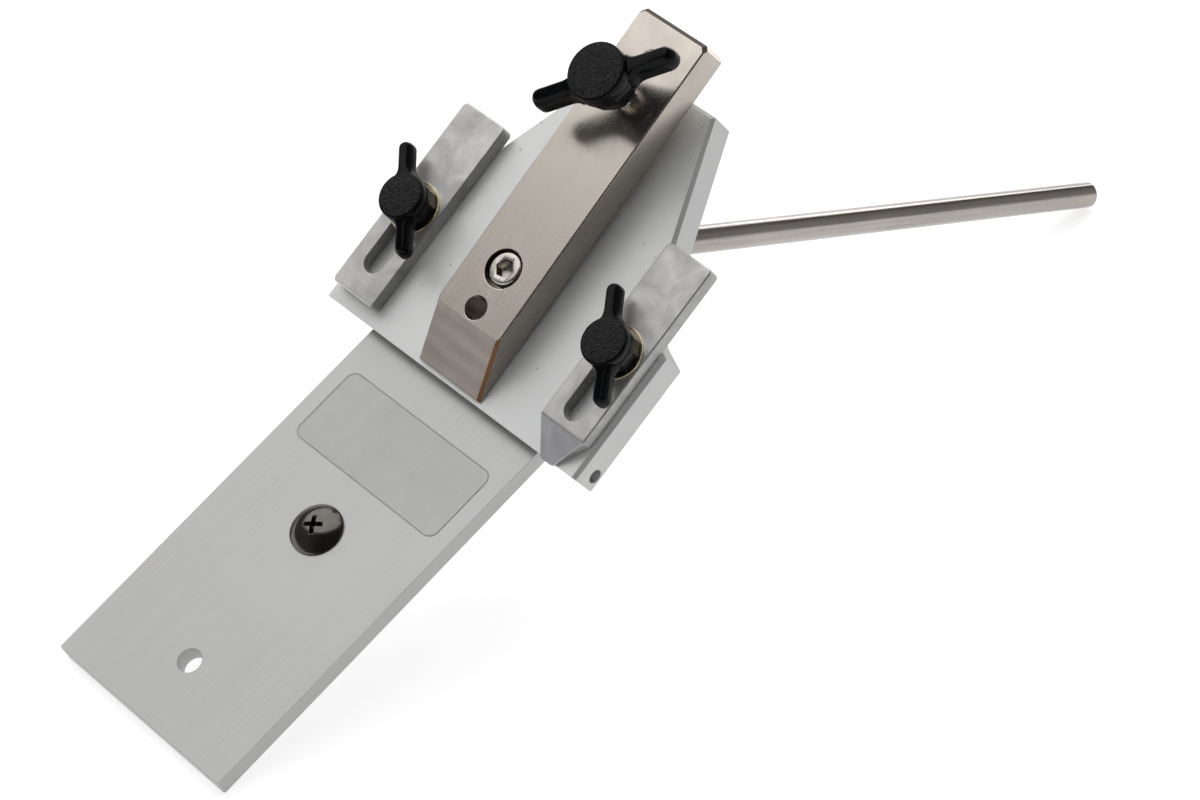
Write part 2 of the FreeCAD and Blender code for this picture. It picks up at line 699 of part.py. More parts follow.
def rod_block_screws():
    seat = -size("plate_thickness") - size("block_bolt_length") + size("block_bolt_bite")
    members = []
    for side in (-1, 1):
        place = App.Placement(
            App.Vector(side * size("block_bolt_offset"), size("block_bolt_setback"),
                       seat - size("rest_gap")), App.Rotation(X_AXIS, 180))
        name = "left_block_screw" if side < 0 else "right_block_screw"
        members.append(cap_screw(name, "small_major", "small_head", "small_head_height",
                                 "small_key", "dim.block_bolt_length", place))
    return group("rod_block_screws", members)


def rod_set_screw():
    tip = rod_place.multVec(App.Vector(0, 0, size("rod_screw_reach")))
    tip.x = size("rod_seat") / 2 + size("rest_gap")
    place = App.Placement(tip, App.Rotation(App.Vector(0, 1, 0), 90))
    return single("rod_set_screw", set_screw("rod_set_screw", "bolt_major", "small_key",
                                             "rod_screw_length", place))


def support_rod():
    """A plain rod whose upper end is turned down, so that its shoulder stops on the block."""
    body = new_piece("support_rod", rod_place)
    start = "(dim.block_exit - dim.rod_socket + dim.slide_gap)"
    shoulder = "(dim.block_exit + dim.rest_gap)"
    add(body, "AdditiveCylinder", "Rod", {"Radius": half("rod_diameter"),
                                          "Height": "dim.rod_reach - %s" % shoulder},
        ("0", "0", shoulder))
    add(body, "AdditiveCylinder", "Seat", {"Radius": half("rod_seat"),
                                           "Height": "%s - %s" % (shoulder, start)},
        ("0", "0", start))
    reach = size("rod_reach")
    soften(body, "Chamfer", "Ends", "dim.rod_bevel", lambda edge: lies_at(edge, "z", reach))
    return body


def tee_bite():
    """How far the tee handle's stud reaches below its knob to stand on the deck."""
    deck = "(2 * dim.rest_gap + dim.handle_reach * sin(dim.bar_pitch * 1deg))"
    return ("dim.handle_lift + dim.bar_thickness + %s / cos(dim.bar_pitch * 1deg)"
            " - dim.stud_tip_gap" % deck)


def knob_bite():
    return "dim.fence_thickness + dim.washer_thickness + dim.stud_bite"


def floor_tilt():
    """The angle that brings the tail's lower end edge and the rod's end rim level."""
    tail_end = tail_place.multVec(App.Vector(0, -size("tail_reach"), -size("tail_thickness")))
    rim = App.Vector(0, size("rod_diameter") / 2, size("rod_reach") - size("rod_bevel"))
    rod_end = rod_place.multVec(rim)
    span = rod_end - tail_end
    return -math.degrees(math.atan2(span.z, span.y))


def stand_up():
    """Tip every piece back together and put the origin under the middle of the whole."""
    tilt = App.Placement(App.Vector(), App.Rotation(X_AXIS, floor_tilt()))
    whole = App.BoundBox()
    for _, item, place in pieces:
        item.Placement = tilt * place
    doc.recompute()
    for _, item, _ in pieces:
        whole.add(item.Shape.optimalBoundingBox(False))
    shift = App.Placement(App.Vector(-whole.Center.x, -whole.Center.y, -whole.ZMin), App.Rotation())
    for _, item, place in pieces:
        item.Placement = shift * tilt * place
    doc.recompute()
    print("tilt %.6f shift %.5f %.5f %.5f" % ((floor_tilt(),) + tuple(shift.Base)))
    print("size %.3f %.3f %.3f" % (whole.XLength, whole.YLength, whole.ZLength))


def check():
    for item in doc.Objects:
        if "Invalid" in item.State or "Error" in item.State:
            raise RuntimeError("%s failed: %s" % (item.Label, item.State))
    for label, item, _ in pieces:
        shape = item.Shape
        if shape.isNull() or not shape.isValid() or shape.Volume <= 0:
            raise RuntimeError("%s has no valid solid" % label)


def write_steps():
    os.makedirs("parts", exist_ok=True)
    for label, item, _ in pieces:
        item.Shape.exportStep("parts/%s.step" % label)
        print("%-20s %d solid(s) %10.1f mm3" % (label, len(item.Shape.Solids), item.Shape.Volume))


def main():
    write_sheet()
    deck_plate()
    tail_plate()
    group("tail_screws", [flat_screw(-1), flat_screw(1)], tail_place)
    tail_side_screws()
    truss_screw()
    truss_nut()
    label_film()
    rod_block()
    rod_block_screws()
    rod_set_screw()
    support_rod()
    clamp_bar()
    pivot_screw()
    wing_knob("tee_handle", tee_place(), "handle")
    stud("tee_stud", tee_place(), "handle_hub", tee_bite())
    for name, side, front in (("left", -1, "left_front"), ("right", 1, "right_front")):
        fence(name + "_fence", side, front)
        washer(name + "_washer", side)
        wing_knob(name + "_knob", knob_place(side), "knob")
        stud(name + "_stud", knob_place(side), "knob_hub", knob_bite())
    stand_up()
    check()
    write_steps()


main()
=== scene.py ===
import bpy
import bmesh
import json
import math
from mathutils import Euler, Matrix, Vector


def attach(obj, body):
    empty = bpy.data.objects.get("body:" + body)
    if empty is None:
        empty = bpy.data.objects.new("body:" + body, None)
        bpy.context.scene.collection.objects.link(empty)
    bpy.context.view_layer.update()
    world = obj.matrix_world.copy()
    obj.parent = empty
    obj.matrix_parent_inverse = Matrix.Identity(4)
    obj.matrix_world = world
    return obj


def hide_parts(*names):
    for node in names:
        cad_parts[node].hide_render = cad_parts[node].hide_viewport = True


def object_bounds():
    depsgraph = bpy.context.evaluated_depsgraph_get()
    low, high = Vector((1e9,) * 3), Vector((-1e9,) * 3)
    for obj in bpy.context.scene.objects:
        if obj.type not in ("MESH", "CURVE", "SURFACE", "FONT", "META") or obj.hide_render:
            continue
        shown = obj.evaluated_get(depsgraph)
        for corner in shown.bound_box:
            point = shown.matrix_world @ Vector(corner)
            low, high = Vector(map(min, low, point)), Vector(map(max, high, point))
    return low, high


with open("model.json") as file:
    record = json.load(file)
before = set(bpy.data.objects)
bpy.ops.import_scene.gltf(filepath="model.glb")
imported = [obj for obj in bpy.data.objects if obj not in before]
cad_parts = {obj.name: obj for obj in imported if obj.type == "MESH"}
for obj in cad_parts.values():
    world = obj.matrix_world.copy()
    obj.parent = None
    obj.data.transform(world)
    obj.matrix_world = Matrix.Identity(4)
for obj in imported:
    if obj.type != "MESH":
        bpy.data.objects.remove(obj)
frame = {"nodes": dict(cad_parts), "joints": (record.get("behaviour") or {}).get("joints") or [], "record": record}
cad_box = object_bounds()

MM = 0.001
# The camera: where it stands in metres, how it is turned in degrees, and its lens in millimetres.
CAMERA_AT = (0.5974, -0.6296, 0.7165)
CAMERA_TURN = (50.894, -3.329, 47.274)
LENS = 118.92
SENSOR = 36.0
FLOOR_REACH = 5.0  # metres each way

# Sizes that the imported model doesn't state, in millimetres and degrees, as in the CAD source.
BOLT = 6.35
BOLT_PITCH = 1.27
SMALL_BOLT = 4.83
SMALL_PITCH = 0.79
BOLT_KEY = 4.76
SMALL_KEY = 3.97
PIVOT_HEAD = (9.52, 6.35)  # width and height
BLOCK_HEAD = (7.92, 4.83)
NUT_WIDTH = 11.1
NUT_CROWN = 5.35  # radius of the bevel at the nut's faces
NUT_CORNER = 6.9  # radius outside the nut's corners
DOME_RISE = 3.0
DOME_RIM = 0.5
RECESS_DEPTH = 2.5
RECESS_FLOOR = (1.15, 0.42)  # half length and half width of a slot of the cross
RECESS_MOUTH = (3.25, 0.72)
RECESS_TURNS = (35, 125)
KNOB_TURNS = {"left": 130.6, "right": 124.0}
TEE = {"turn": 47.5, "hub": 13.5, "cap": 16.5, "base": 16.2, "foot": 5.7, "span": 41.4,
       "arm": 5.6, "tall": 6.4}
KNOB = {"hub": 8.1, "cap": 13.3, "base": 13.9, "foot": 6.9, "span": 33.4, "arm": 4.2,
        "tall": 4.4}


def joint(name):
    return next(j for j in frame["joints"] if j["name"] == name)


def mount(name):
    return next(m for m in frame["record"]["mounts"] if m["name"] == name)


def turned(up, turn=0.0):
    """A rotation whose Z is up and whose X lies across the guide, turned about up."""
    z = Vector(up).normalized()
    x = Vector((1, 0, 0))
    x = (x - x.dot(z) * z).normalized()
    spin = Matrix.Rotation(math.radians(turn), 4, z)
    return spin @ Matrix((x, z.cross(x), z)).transposed().to_4x4()


DECK = turned(joint("left_fence_swivel")["axis"])
BAR = turned(joint("handle_turn")["axis"])
TAIL = turned(mount("tail_end_hole")["axis"])
ROD = turned(mount("rod_end")["axis"])


def span(node, way, side=0):
    """Lowest and highest corner of a CAD node in a turned frame; side keeps one half of a pair."""
    back = way.inverted()
    points = [v.co for v in frame["nodes"][node].data.vertices if side * v.co.x >= 0]
    local = [back @ p for p in points]
    low = Vector([min(p[i] for p in local) for i in range(3)])
    high = Vector([max(p[i] for p in local) for i in range(3)])
    return low, high


def foot(node, way, side=0):
    """The place of a round node: the middle of its lower end, and its length in millimetres."""
    low, high = span(node, way, side)
    middle = (low + high) / 2
    at = way @ Vector((middle.x, middle.y, low.z))
    return Matrix.Translation(at) @ way, (high.z - low.z) / MM


# ---------------------------------------------------------------- material nodes

class Paint:
    """A material under construction, in millimetres of a turned frame."""

    def __init__(self, name, way=None, edge=0.0):
        self.mat = bpy.data.materials.new(name)
        self.mat.use_nodes = True
        self.tree = self.mat.node_tree
        self.bsdf = self.tree.nodes["Principled BSDF"]
        coord = self.node("ShaderNodeTexCoord")
        scale = self.node("ShaderNodeMapping")
        scale.inputs["Scale"].default_value = (1 / MM,) * 3
        if way is not None:
            scale.inputs["Rotation"].default_value = way.inverted().to_euler()
        self.join(coord.outputs["Object"], scale.inputs["Vector"])
        self.place = scale.outputs[0]
        self.height = None
        self.tone_mask = 0.0
        if edge:
            self.round_edges(edge)

    def node(self, kind, **settings):
        n = self.tree.nodes.new(kind)
        for key, value in settings.items():
            setattr(n, key, value)
        return n

    def join(self, a, b):
        self.tree.links.new(a, b)

    def round_edges(self, width):
        """Rounds the sharp edges in the shading, and keeps a mask of where they are."""
        bevel = self.node("ShaderNodeBevel", samples=6)
        bevel.inputs["Radius"].default_value = width * MM
        self.height = bevel.outputs[0]
        same = self.node("ShaderNodeVectorMath", operation="DOT_PRODUCT")
        self.join(self.height, same.inputs[0])
        self.join(self.node("ShaderNodeNewGeometry").outputs["Normal"], same.inputs[1])
        # Edge mask: the finishes below paint the edges lighter with it (rubbed edges and painted highlight), or
        # darker on the brushed tail (painted shade).
        self.tone_mask = self.fit(same.outputs["Value"], 0.80, 0.99, 1, 0)

    def feed(self, value, socket):
        if isinstance(value, bpy.types.NodeSocket):
            self.join(value, socket)
        else:
            socket.default_value = value

    def stretched(self, scale):
        n = self.node("ShaderNodeMapping")
        n.inputs["Scale"].default_value = scale
        self.join(self.place, n.inputs["Vector"])
        return n.outputs[0]

    def noise(self, scale, detail=3.0, rough=0.5, place=None, distort=0.0):
        n = self.node("ShaderNodeTexNoise")
        self.feed(place or self.place, n.inputs["Vector"])
        n.inputs["Scale"].default_value = scale
        n.inputs["Detail"].default_value = detail
        n.inputs["Roughness"].default_value = rough
        n.inputs["Distortion"].default_value = distort
        return n.outputs["Fac"]

    def cells(self, scale, place=None, output="Distance", feature="F1", random=1.0):
        n = self.node("ShaderNodeTexVoronoi", feature=feature)
        self.feed(place or self.place, n.inputs["Vector"])
        n.inputs["Scale"].default_value = scale
        n.inputs["Randomness"].default_value = random
        return n.outputs[output]

    def maths(self, kind, a, b=0.0, c=0.0):
        n = self.node("ShaderNodeMath", operation=kind)
        for value, socket in zip((a, b, c), n.inputs):
            self.feed(value, socket)
        return n.outputs[0]

    def fit(self, value, a, b, c, d):
        """value from a..b onto c..d, held inside."""
        n = self.node("ShaderNodeMapRange")
        for number, name in ((a, "From Min"), (b, "From Max"), (c, "To Min"), (d, "To Max")):
            n.inputs[name].default_value = number
        self.join(value, n.inputs["Value"])
        return n.outputs["Result"]

    def mix(self, share, a, b, kind="MIX"):
        n = self.node("ShaderNodeMix", data_type="RGBA", blend_type=kind)
        sockets = {s.identifier: s for s in n.inputs}
        self.feed(share, sockets["Factor_Float"])
        self.feed(a, sockets["A_Color"])
        self.feed(b, sockets["B_Color"])
        return next(s for s in n.outputs if s.identifier == "Result_Color")

    def axis(self, which, place=None):
        n = self.node("ShaderNodeSeparateXYZ")
        self.feed(place or self.place, n.inputs[0])
        return n.outputs[which]

    def colour(self, value):
        self.feed(value, self.bsdf.inputs["Base Color"])

    def set(self, **sockets):
        for name, value in sockets.items():
            self.feed(value, self.bsdf.inputs[name.replace("_", " ")])

    def bump(self, height, strength, depth):
        """depth in millimetres; several bumps follow each other."""
        n = self.node("ShaderNodeBump")
        n.inputs["Strength"].default_value = strength
        n.inputs["Distance"].default_value = depth * MM
        self.join(height, n.inputs["Height"])
        if self.height is not None:
            self.join(self.height, n.inputs["Normal"])
        self.height = n.outputs[0]
        self.join(self.height, self.bsdf.inputs["Normal"])


def grey(level, warm=0.0):
    return (level * (1 + warm), level, level * (1 - warm), 1)


def blasted(name, way, level):
    """Bead-blasted, clear anodised aluminium with a few dark pits."""
    p = Paint(name, way, 0.22)
    broad = p.fit(p.noise(0.045, 3), 0.3, 0.7, 0, 1)
    fine = p.fit(p.noise(3.2, 4, 0.65), 0.3, 0.7, 0, 1)
    tone = p.mix(broad, (level * 0.95, level * 0.965, level * 0.95, 1),
                 (level * 1.04, level * 1.045, level * 1.03, 1))
    tone = p.mix(p.maths("MULTIPLY", fine, 0.3), tone,
                 (level * 0.80, level * 0.81, level * 0.80, 1))
    pick = p.axis(0, p.cells(0.24, output="Color"))
    spot = p.maths("LESS_THAN", p.cells(0.24), 0.055)
    spot = p.maths("MULTIPLY", spot, p.maths("GREATER_THAN", pick, 0.62))
    small = p.maths("LESS_THAN", p.cells(0.9), 0.07)
    rare = p.maths("GREATER_THAN", p.axis(1, p.cells(0.9, output="Color")), 0.88)
    small = p.maths("MULTIPLY", small, rare)
    marks = p.maths("MULTIPLY", p.maths("MAXIMUM", spot, small), 0.75)
    # Edges lightened towards pale grey: rubbed edges and painted highlight.
    tone = p.mix(p.maths("MULTIPLY", p.tone_mask, 0.35), tone, grey(0.95))
    p.colour(p.mix(marks, tone, (0.10, 0.095, 0.09, 1)))
    p.set(Metallic=0.45, Roughness=p.fit(fine, 0, 1, 0.42, 0.52))
    p.bump(p.noise(5.0, 3, 0.7), 0.22, 0.05)
    p.bump(marks, 0.3, -0.06)
    return p.mat


def brushed(name, way, level=0.42, along=(7.0, 0.035, 7.0)):
    """Aluminium brushed along Y of its frame, with short dark scratches."""
    p = Paint(name, way, 0.18)
    fine = p.noise(1.0, 5, 0.6, p.stretched(along))
    wide = p.noise(1.0, 3, 0.5, p.stretched((along[0] * 0.16, along[1] * 0.5, along[2] * 0.16)))
    cloud = p.noise(0.03, 2)
    tone = p.mix(p.fit(fine, 0.25, 0.75, 0, 1), grey(level * 0.86, 0.008),
                 grey(level * 1.10, 0.004))
    tone = p.mix(p.fit(wide, 0.35, 0.65, 0, 0.5), tone, grey(level * 0.90, 0.012))
    tone = p.mix(p.fit(cloud, 0.4, 0.7, 0, 0.4), tone, grey(level * 1.06, 0.0))
    nick = p.stretched((0.42, 0.055, 0.42))
    scratch = p.maths("LESS_THAN", p.cells(1.0, nick), 0.035)
    scratch = p.maths("MULTIPLY", scratch,
                      p.maths("GREATER_THAN", p.axis(0, p.cells(1.0, nick, output="Color")), 0.55))
    # Edges darkened: painted shade along the edges.
    tone = p.mix(p.maths("MULTIPLY", p.tone_mask, 0.45), tone, grey(level * 0.55))
    p.colour(p.mix(p.maths("MULTIPLY", scratch, 0.6), tone, grey(0.16)))
    p.set(Metallic=0.8, Roughness=p.fit(fine, 0.3, 0.7, 0.34, 0.48))
    p.bump(fine, 0.16, 0.03)
    return p.mat


def tumbled(name, way, level=0.60, tint=(1.0, 0.985, 0.965), rough=(0.34, 0.5)):
    """Tumbled aluminium: satin with soft darker blotches and a faint lengthwise grain."""
    p = Paint(name, way, 0.35)
    blotch = p.fit(p.noise(0.11, 5, 0.6, distort=0.6), 0.35, 0.68, 0, 1)
    grain = p.fit(p.noise(1.0, 4, 0.6, p.stretched((3.2, 0.35, 3.2))), 0.3, 0.7, 0, 1)
    speck = p.fit(p.noise(2.6, 3, 0.7), 0.35, 0.7, 0, 1)
    light = [level * 1.12 * c for c in tint] + [1]
    dark = [level * 0.74 * c for c in tint] + [1]
    tone = p.mix(blotch, light, dark)
    tone = p.mix(p.maths("MULTIPLY", grain, 0.35), tone, [level * 0.72 * c for c in tint] + [1])
    tone = p.mix(p.maths("MULTIPLY", speck, 0.22), tone, [level * 1.25 * c for c in tint] + [1])
    # Edges lightened towards pale grey: rubbed edges and painted highlight.
    p.colour(p.mix(p.maths("MULTIPLY", p.tone_mask, 0.5), tone, grey(0.9)))
    p.set(Metallic=0.8, Roughness=p.fit(blotch, 0, 1, rough[0], rough[1]))
    p.bump(speck, 0.2, 0.04)
    p.bump(grain, 0.12, 0.03)
    return p.mat


def nickel(name, way, rings=(), tint=(0.74, 0.675, 0.605), ripple=False, dull=0.0):
    """Satin nickel plate, with turning marks round its holes and a soft ripple on the ramp."""
    p = Paint(name, way, 0.2)
    cloud = p.fit(p.noise(0.09, 4, 0.6), 0.3, 0.7, 0, 1)
    grain = p.fit(p.noise(4.2, 4, 0.7), 0.3, 0.72, 0, 1)
    long_grain = p.fit(p.noise(1.0, 4, 0.6, p.stretched((2.2, 0.12, 2.2))), 0.35, 0.7, 0, 1)
    bright = [1.06 * c for c in tint] + [1]
    dim = [0.84 * c for c in tint] + [1]
    tone = p.mix(p.maths("MULTIPLY", cloud, 0.6), bright, dim)
    tone = p.mix(p.maths("MULTIPLY", grain, 0.22), tone, [0.78 * c for c in tint] + [1])
    rough = p.maths("ADD", p.fit(cloud, 0, 1, 0.20 + dull, 0.27 + dull),
                    p.maths("MULTIPLY", long_grain, 0.04))
    p.bump(grain, 0.05, 0.012)
    for at, reach in rings:
        off = p.node("ShaderNodeVectorMath", operation="DISTANCE")
        flat = p.node("ShaderNodeVectorMath", operation="MULTIPLY")
        p.join(p.place, flat.inputs[0])
        flat.inputs[1].default_value = (1, 1, 0)
        p.join(flat.outputs[0], off.inputs[0])
        off.inputs[1].default_value = (at[0], at[1], 0)
        away = off.outputs["Value"]
        wobble = p.maths("ADD", away, p.maths("MULTIPLY", p.noise(0.5, 2), 0.5))
        ring = p.fit(p.maths("SINE", p.maths("MULTIPLY", wobble, 9.0)), 0.35, 1.0, 0, 1)
        near = p.fit(away, reach * 0.45, reach, 1, 0)
        broken = p.fit(p.noise(0.35, 2), 0.42, 0.62, 0, 1)
        mark = p.maths("MULTIPLY", p.maths("MULTIPLY", ring, near), broken)
        tone = p.mix(p.maths("MULTIPLY", mark, 0.45), tone, [1.3 * c for c in tint] + [1])
        p.bump(mark, 0.15, 0.02)
    if ripple:
        wave = p.maths("SINE", p.maths("ADD", p.maths("MULTIPLY", p.axis(1), 1.35),
                                       p.maths("MULTIPLY", p.noise(0.12, 2), 2.0)))
        tone = p.mix(p.fit(wave, -1, 1, 0, 0.34), tone, [0.70 * c for c in tint] + [1])
        p.bump(p.fit(wave, -1, 1, 0, 1), 0.25, 0.12)
    # Edges lightened: rubbed edges and painted highlight.
    p.colour(p.mix(p.maths("MULTIPLY", p.tone_mask, 0.4), tone, [min(1, 1.3 * c) for c in tint] + [1]))
    p.set(Metallic=1.0, Roughness=rough)
    return p.mat


def stainless(name, way):
    """Ground stainless rod: fine rings round it, faint streaks along it."""
    p = Paint(name, way)
    rings = p.noise(1.0, 4, 0.7, p.stretched((0.25, 0.25, 5.0)))
    streak = p.noise(1.0, 3, 0.6, p.stretched((1.6, 1.6, 0.02)))
    cloud = p.noise(0.05, 3)
    tone = p.mix(p.fit(streak, 0.3, 0.7, 0, 1), (0.42, 0.385, 0.355, 1), (0.30, 0.27, 0.25, 1))
    tone = p.mix(p.fit(rings, 0.35, 0.7, 0, 0.5), tone, (0.27, 0.245, 0.225, 1))
    tone = p.mix(p.fit(cloud, 0.45, 0.7, 0, 0.4), tone, (0.42, 0.385, 0.36, 1))
    p.colour(tone)
    p.set(Metallic=1.0, Roughness=p.fit(rings, 0.3, 0.7, 0.14, 0.26))
    p.bump(rings, 0.18, 0.02)
    p.bump(streak, 0.10, 0.03)
    return p.mat


def machined(name, way, colour, rough=(0.14, 0.26), coat=0.0):
    """Small turned steel or brass pieces: a fine and a broad mottle in tone, with matching roughness."""
    p = Paint(name, way)
    fine = p.noise(2.4, 4, 0.6)
    broad = p.noise(0.35, 3)
    dark = [0.72 * c for c in colour] + [1]
    tone = p.mix(p.fit(broad, 0.35, 0.65, 0, 0.6), list(colour) + [1], dark)
    tone = p.mix(p.fit(fine, 0.45, 0.75, 0, 0.4), tone, [0.6 * c for c in colour] + [1])
    p.colour(tone)
    p.set(Metallic=1.0, Roughness=p.fit(fine, 0.3, 0.7, rough[0], rough[1]), Coat_Weight=coat)
    p.bump(fine, 0.10, 0.02)
    return p.mat


def moulded(name, way):
    """Glossy black nylon with faint flow marks and scuffs."""
    p = Paint(name, way)
    flow = p.noise(0.35, 4, 0.6)
    scuff = p.fit(p.noise(1.0, 4, 0.7, p.stretched((2.5, 0.8, 0.8))), 0.55, 0.75, 0, 1)
    tone = p.mix(p.fit(flow, 0.35, 0.65, 0, 1), (0.0015, 0.0018, 0.0025, 1),
                 (0.0035, 0.004, 0.005, 1))
    p.colour(p.mix(p.maths("MULTIPLY", scuff, 0.25), tone, (0.012, 0.012, 0.014, 1)))
    p.set(Roughness=p.fit(flow, 0.3, 0.7, 0.12, 0.22))
    p.set(**{"Specular IOR Level": 0.10})
    p.bump(flow, 0.08, 0.1)
    p.bump(p.noise(3.0, 2), 0.05, 0.02)
    return p.mat


def pebbled(name, way):
    """The knob caps' grained black face: small raised crumbs that catch the light, their tops painted lighter as
    painted glints.
    """
    p = Paint(name, way)
    crumbs = p.cells(2.0, feature="SMOOTH_F1", place=None)
    warp = p.noise(1.2, 3, 0.6)
    lumps = p.maths("SUBTRACT", 1.0, p.fit(crumbs, 0.05, 0.65, 0, 1))
    lumps = p.maths("MULTIPLY", lumps, p.fit(warp, 0.35, 0.6, 0.25, 1))
    # Raised crumbs painted lighter than the hollows: painted glints.
    tone = p.mix(lumps, (0.0008, 0.001, 0.0012, 1), (0.014, 0.015, 0.017, 1))
    p.colour(tone)
    p.set(Roughness=p.fit(lumps, 0, 1, 0.42, 0.14))
    p.set(**{"Specular IOR Level": 0.24})
    p.bump(lumps, 1.0, 0.42)
    p.bump(p.noise(6.0, 3, 0.7), 0.35, 0.05)
    return p.mat


def oxide(name, way):
    """Black oxide on steel fasteners."""
    p = Paint(name, way)
    tone_mask = p.fit(p.noise(1.1, 4, 0.65), 0.55, 0.75, 0, 0.7)
    p.colour(p.mix(tone_mask, (0.028, 0.028, 0.030, 1), (0.13, 0.125, 0.12, 1)))
    p.set(Metallic=0.75, Roughness=p.fit(tone_mask, 0, 0.7, 0.46, 0.28))
    p.bump(p.noise(3.0, 3), 0.12, 0.03)
    return p.mat


def film(name, way, low, high):
    """Clear film: see-through, with a soft gloss and a faint darker cut edge. No print."""
    p = Paint(name, way)
    centre = (low + high) / 2 / MM
    half = (high - low) / 2 / MM
    sides = []
    for i in (0, 1):
        off = p.maths("ABSOLUTE", p.maths("SUBTRACT", p.axis(i), centre[i]))
        sides.append(p.maths("SUBTRACT", off, half[i] - 3.0))
    corner = p.maths("SQRT", p.maths("ADD", *[p.maths("POWER", p.maths("MAXIMUM", s, 0.0), 2.0)
                                                for s in sides]))
    edge = p.fit(corner, 2.62, 2.95, 0, 1)
    haze = p.noise(0.08, 3)
    p.colour(p.mix(edge, (0.78, 0.79, 0.77, 1), (0.30, 0.30, 0.29, 1)))
    p.set(Roughness=p.fit(haze, 0.3, 0.7, 0.14, 0.24))
    clear = p.maths("MAXIMUM", p.fit(edge, 0, 1, 0.10, 0.62), p.fit(haze, 0.3, 0.7, 0.06, 0.14))
    p.set(Alpha=clear)
    p.bump(haze, 0.05, 0.1)
    return p.mat


# ---------------------------------------------------------------- meshes

def to_object(name, bm, place):
    """A mesh drawn in millimetres, set at its place in the row frame."""
    mesh = bpy.data.meshes.new(name)
    bm.to_mesh(mesh)
    bm.free()
    mesh.transform(place @ Matrix.Scale(MM, 4))
    obj = bpy.data.objects.new(name, mesh)
    bpy.context.scene.collection.objects.link(obj)
    return obj


def lathe(bm, profile, around=64, ridge=None):
    """Turns a profile of (radius, height) about Z. ridge(row, angle) changes the radius."""
    rings = []
    for row, (radius, height) in enumerate(profile):
        ring = []
        for i in range(around):
            a = 2 * math.pi * i / around
            r = radius + (ridge(row, a) if ridge else 0.0)
            ring.append(bm.verts.new((r * math.cos(a), r * math.sin(a), height)))
        rings.append(ring)
    for low, high in zip(rings, rings[1:]):
        for i in range(around):
            k = (i + 1) % around
            bm.faces.new((low[i], low[k], high[k], high[i]))
    bm.faces.new(list(reversed(rings[0])))
    bm.faces.new(rings[-1])
    return rings


def prism(bm, sides, radius, low, high, turn=0.0, taper=1.0):
    rings = []
    for height, scale in ((low, taper), (high, 1.0)):
        rings.append([bm.verts.new((radius * scale * math.cos(2 * math.pi * i / sides + turn),
                                    radius * scale * math.sin(2 * math.pi * i / sides + turn),
                                    height)) for i in range(sides)])
    for i in range(sides):
        k = (i + 1) % sides
        bm.faces.new((rings[0][i], rings[0][k], rings[1][k], rings[1][i]))
    bm.faces.new(list(reversed(rings[0])))
    bm.faces.new(rings[1])


def thread(bm, diameter, pitch, low, high, around=36, per_turn=8):
    """A right-hand screw thread about Z with its ends run out to a chamfer."""
    rows = max(3, int((high - low) / pitch * per_turn))
    depth = 0.58 * pitch
    profile = []
    for row in range(rows + 1):
        profile.append((diameter / 2, low + (high - low) * row / rows))

    def groove(row, a):
        height = profile[row][1]
        phase = (height / pitch - a / (2 * math.pi)) % 1.0
        cut = depth * max(0.0, min(1.0, (abs(phase - 0.5) * 2 - 0.12) / 0.76))
        end = min(height - low, high - height)
        run_out = max(0.0, 0.8 * pitch - end) * 0.8
        return -max(cut, min(depth, run_out))

    lathe(bm, profile, around, groove)


def baked(obj):
    """Applies the object's modifiers to its mesh."""
    bpy.context.view_layer.update()
    seen = obj.evaluated_get(bpy.context.evaluated_depsgraph_get())
    mesh = bpy.data.meshes.new_from_object(seen)
    obj.modifiers.clear()
    obj.data = mesh
    return obj


def combine(obj, other, operation):
    cut = obj.modifiers.new("combine", "BOOLEAN")
    cut.operation = operation
    cut.solver = "EXACT"
    cut.object = other
    baked(obj)
    bpy.data.objects.remove(other)
    return obj


def soften(obj, width, angle=28, segments=3):
    """Rounds the sharp edges, width in millimetres."""
    bevel = obj.modifiers.new("edges", "BEVEL")
    bevel.width = width * MM
    bevel.segments = segments
    bevel.limit_method = "ANGLE"
    bevel.angle_limit = math.radians(angle)
    bevel.use_clamp_overlap = True
    return baked(obj)


def smooth(obj, angle=35):
    obj.data.polygons.foreach_set("use_smooth", [True] * len(obj.data.polygons))
    obj.data.set_sharp_from_angle(angle=math.radians(angle))
    return obj


def dress(obj, *mats):
    obj.data.materials.clear()
    for mat in mats:
        obj.data.materials.append(mat)
    return obj


def joined(name, objects):
    """One object out of several that are one piece."""
    bm = bmesh.new()
    for obj in objects:
        bm.from_mesh(obj.data)
    mesh = bpy.data.meshes.new(name)
    bm.to_mesh(mesh)
    bm.free()
    for obj in objects:
        bpy.data.objects.remove(obj)
    obj = bpy.data.objects.new(name, mesh)
    bpy.context.scene.collection.objects.link(obj)
    return obj


def stands_for(obj, body, slot, *nodes):
    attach(obj, body)
    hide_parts(*nodes)
    return obj


def hex_socket(place, key, depth, top):
    """The tool that cuts a hexagon socket."""
    bm = bmesh.new()
    prism(bm, 6, key / math.sqrt(3), top - depth, top + 1.0, math.radians(12))
    return to_object("cutter", bm, place)


